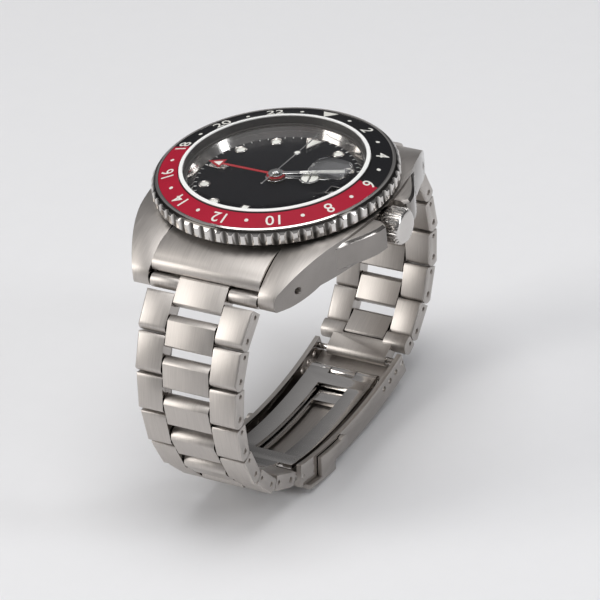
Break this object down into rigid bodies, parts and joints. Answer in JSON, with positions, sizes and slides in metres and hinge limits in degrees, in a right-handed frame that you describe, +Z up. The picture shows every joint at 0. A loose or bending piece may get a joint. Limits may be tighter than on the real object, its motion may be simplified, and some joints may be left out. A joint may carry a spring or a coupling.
{
  "type": "wristwatch",
  "caption": "Dual-time steel wristwatch with a turning bezel marked in hours, date lens, screw-down crown and a tapering link bracelet closed by a folding clasp.",
  "frame": {"origin": "centre of the case back's outer face", "axes": "+Z up through the dial, +Y to 12 o'clock, +X to 3 o'clock and the crown"},
  "size_m": [0.0435, 0.0668, 0.0545],
  "materials": {
    "brushed_steel": "satin, brushed along the bracelet",
    "polished_steel": "polished",
    "case_steel": "brushed lug tops, polished flanks",
    "bezel_insert": "anodised red and black with pale numerals",
    "sapphire": "clear, bevelled rim",
    "gasket_white": "white",
    "gasket_dark": "matte",
    "dial_black": "gloss lacquer",
    "lume": "luminous plots in steel surrounds",
    "hands_steel": "polished with pale windows",
    "gmt_red": "red lacquer",
    "date_white": "white with dark numerals",
    "nickel": "striped and rhodium plated",
    "wheel_brass": "circular grained",
    "tungsten": "satin",
    "spring_blue": "blued"
  },
  "bodies": {
    "head": {"mid_case": "case_steel", "case_back": "case_steel", "case_back_gasket": "gasket_dark", "crown_tube": "polished_steel", "lug_spring_bars": "polished_steel", "bezel_click_spring": "polished_steel", "crystal_retainer": "polished_steel", "crystal": "sapphire", "crystal_gasket": "gasket_white", "date_lens": "sapphire", "rehaut_ring": "polished_steel", "dial": "dial_black", "hour_markers": "lume", "movement_plate": "nickel", "train_bridge": "nickel", "balance_bridge": "nickel", "rotor_bearing": "polished_steel", "casing_clamps": "polished_steel", "end_link_12": "brushed_steel", "end_link_6": "brushed_steel"},
    "bezel": {"bezel_ring": "polished_steel", "bezel_insert": "bezel_insert"},
    "stem": {"winding_stem": "polished_steel"},
    "crown": {"crown": "polished_steel"},
    "hour": {"hour_hand": "hands_steel", "hour_wheel": "wheel_brass"},
    "minute": {"minute_hand": "hands_steel", "cannon_pinion": "polished_steel", "centre_wheel": "wheel_brass"},
    "gmt": {"gmt_hand": "gmt_red", "gmt_wheel": "wheel_brass"},
    "seconds": {"seconds_hand": "hands_steel", "fourth_wheel": "wheel_brass"},
    "date": {"date_disc": "date_white"},
    "barrel": {"barrel": "wheel_brass"},
    "third": {"third_wheel": "wheel_brass"},
    "escape": {"escape_wheel": "polished_steel"},
    "pallets": {"pallet_fork": "polished_steel"},
    "balance": {"balance_wheel": "wheel_brass", "hairspring": "spring_blue"},
    "rotor": {"rotor": "tungsten"},
    "clasp": {"clasp_cover": "brushed_steel", "clasp_pins": "polished_steel"},
    "middle_blade": {"clasp_middle_blade": "polished_steel"},
    "inner_blade": {"clasp_inner_blade": "polished_steel"},
    "catch": {"clasp_catch": "brushed_steel"},
    "row_12_1": {"links_12_row_1": "brushed_steel"},
    "row_12_2": {"links_12_row_2": "brushed_steel"},
    "row_12_3": {"links_12_row_3": "brushed_steel"},
    "row_12_4": {"links_12_row_4": "brushed_steel"},
    "row_12_5": {"links_12_row_5": "brushed_steel"},
    "row_12_6": {"links_12_row_6": "brushed_steel"},
    "row_12_7": {"links_12_row_7": "brushed_steel"},
    "row_6_1": {"links_6_row_1": "brushed_steel"},
    "row_6_2": {"links_6_row_2": "brushed_steel"},
    "row_6_3": {"links_6_row_3": "brushed_steel"},
    "row_6_4": {"links_6_row_4": "brushed_steel"},
    "row_6_5": {"links_6_row_5": "brushed_steel"},
    "row_6_6": {"links_6_row_6": "brushed_steel"},
    "row_6_7": {"links_6_row_7": "brushed_steel"}
  },
  "joints": [
    {"name": "bezel_turn", "type": "hinge", "parent": "head", "child": "bezel", "pos_m": [0, 0, 0.009], "axis": [0, 0, 1], "continuous": true},
    {"name": "crown_pull", "type": "slide", "parent": "head", "child": "stem", "axis": [1, 0, 0], "range_m": [0, 0.0018]},
    {"name": "crown_turn", "type": "hinge", "parent": "stem", "child": "crown", "pos_m": [0.0215, 0, 0.0042], "axis": [1, 0, 0], "continuous": true},
    {"name": "minute_turn", "type": "hinge", "parent": "head", "child": "minute", "pos_m": [0, 0, 0.009], "axis": [0, 0, -1], "continuous": true},
    {"name": "hour_turn", "type": "hinge", "parent": "head", "child": "hour", "pos_m": [0, 0, 0.009], "axis": [0, 0, -1], "continuous": true},
    {"name": "gmt_turn", "type": "hinge", "parent": "head", "child": "gmt", "pos_m": [0, 0, 0.009], "axis": [0, 0, -1], "continuous": true},
    {"name": "seconds_turn", "type": "hinge", "parent": "head", "child": "seconds", "pos_m": [0, 0, 0.009], "axis": [0, 0, -1], "continuous": true},
    {"name": "barrel_turn", "type": "hinge", "parent": "head", "child": "barrel", "pos_m": [-0.00579, 0.00211, 0.004], "axis": [0, 0, 1], "continuous": true},
    {"name": "third_turn", "type": "hinge", "parent": "head", "child": "third", "pos_m": [0.00379, 0.00318, 0.004], "axis": [0, 0, 1], "continuous": true},
    {"name": "escape_turn", "type": "hinge", "parent": "head", "child": "escape", "pos_m": [0.00228, -0.00394, 0.004], "axis": [0, 0, 1], "continuous": true},
    {"name": "date_turn", "type": "hinge", "parent": "head", "child": "date", "pos_m": [0, 0, 0.007], "axis": [0, 0, -1], "continuous": true},
    {"name": "rotor_turn", "type": "hinge", "parent": "head", "child": "rotor", "pos_m": [0, 0, 0.002], "axis": [0, 0, 1], "continuous": true},
    {"name": "balance_swing", "type": "hinge", "parent": "head", "child": "balance", "pos_m": [0.00522, -0.00905, 0.004], "axis": [0, 0, 1], "range_deg": [-135, 135]},
    {"name": "pallet_rock", "type": "hinge", "parent": "head", "child": "pallets", "pos_m": [0.00373, -0.00645, 0.004], "axis": [0, 0, 1], "range_deg": [-3, 3]},
    {"name": "hinge_12_1", "type": "hinge", "parent": "head", "child": "row_12_1", "pos_m": [0, 0.0234, 0.001], "axis": [1, 0, 0], "range_deg": [0, 31]},
    {"name": "hinge_12_2", "type": "hinge", "parent": "row_12_1", "child": "row_12_2", "pos_m": [0, 0.02792, -0.00368], "axis": [1, 0, 0], "range_deg": [0, 22]},
    {"name": "hinge_12_3", "type": "hinge", "parent": "row_12_2", "child": "row_12_3", "pos_m": [0, 0.03076, -0.00952], "axis": [1, 0, 0], "range_deg": [0, 20]},
    {"name": "hinge_12_4", "type": "hinge", "parent": "row_12_3", "child": "row_12_4", "pos_m": [0, 0.03189, -0.01592], "axis": [1, 0, 0], "range_deg": [0, 20]},
    {"name": "hinge_12_5", "type": "hinge", "parent": "row_12_4", "child": "row_12_5", "pos_m": [0, 0.03121, -0.02238], "axis": [1, 0, 0], "range_deg": [0, 21]},
    {"name": "hinge_12_6", "type": "hinge", "parent": "row_12_5", "child": "row_12_6", "pos_m": [0, 0.02867, -0.02837], "axis": [1, 0, 0], "range_deg": [0, 23]},
    {"name": "hinge_12_7", "type": "hinge", "parent": "row_12_6", "child": "row_12_7", "pos_m": [0, 0.02432, -0.0332], "axis": [1, 0, 0], "range_deg": [0, 26]},
    {"name": "hinge_6_1", "type": "hinge", "parent": "head", "child": "row_6_1", "pos_m": [0, -0.0234, 0.001], "axis": [-1, 0, 0], "range_deg": [0, 31]},
    {"name": "hinge_6_2", "type": "hinge", "parent": "row_6_1", "child": "row_6_2", "pos_m": [0, -0.02792, -0.00368], "axis": [-1, 0, 0], "range_deg": [0, 22]},
    {"name": "hinge_6_3", "type": "hinge", "parent": "row_6_2", "child": "row_6_3", "pos_m": [0, -0.03076, -0.00952], "axis": [-1, 0, 0], "range_deg": [0, 20]},
    {"name": "hinge_6_4", "type": "hinge", "parent": "row_6_3", "child": "row_6_4", "pos_m": [0, -0.03189, -0.01592], "axis": [-1, 0, 0], "range_deg": [0, 20]},
    {"name": "hinge_6_5", "type": "hinge", "parent": "row_6_4", "child": "row_6_5", "pos_m": [0, -0.03121, -0.02238], "axis": [-1, 0, 0], "range_deg": [0, 21]},
    {"name": "hinge_6_6", "type": "hinge", "parent": "row_6_5", "child": "row_6_6", "pos_m": [0, -0.02867, -0.02837], "axis": [-1, 0, 0], "range_deg": [0, 23]},
    {"name": "hinge_6_7", "type": "hinge", "parent": "row_6_6", "child": "row_6_7", "pos_m": [0, -0.02432, -0.0332], "axis": [-1, 0, 0], "range_deg": [0, 26]},
    {"name": "clasp_swing", "type": "hinge", "parent": "row_12_7", "child": "clasp", "pos_m": [0, 0.01848, -0.03605], "axis": [1, 0, 0], "range_deg": [0, 26]},
    {"name": "cover_open", "type": "hinge", "parent": "clasp", "child": "middle_blade", "pos_m": [0, -0.015, -0.03751], "axis": [1, 0, 0], "range_deg": [0, 85]},
    {"name": "blade_open", "type": "hinge", "parent": "middle_blade", "child": "inner_blade", "pos_m": [0, 0.0136, -0.03718], "axis": [-1, 0, 0], "range_deg": [0, 80]},
    {"name": "catch_open", "type": "hinge", "parent": "clasp", "child": "catch", "pos_m": [0, -0.003, -0.03815], "axis": [1, 0, 0], "range_deg": [0, 85]}
  ],
  "couplings": [
    {"joint": "hour_turn", "follows": "minute_turn", "ratio": 0.083333},
    {"joint": "gmt_turn", "follows": "minute_turn", "ratio": 0.041667},
    {"joint": "seconds_turn", "follows": "minute_turn", "ratio": 60},
    {"joint": "third_turn", "follows": "minute_turn", "ratio": 8},
    {"joint": "barrel_turn", "follows": "minute_turn", "ratio": 0.14286},
    {"joint": "escape_turn", "follows": "minute_turn", "ratio": 720}
  ]
}
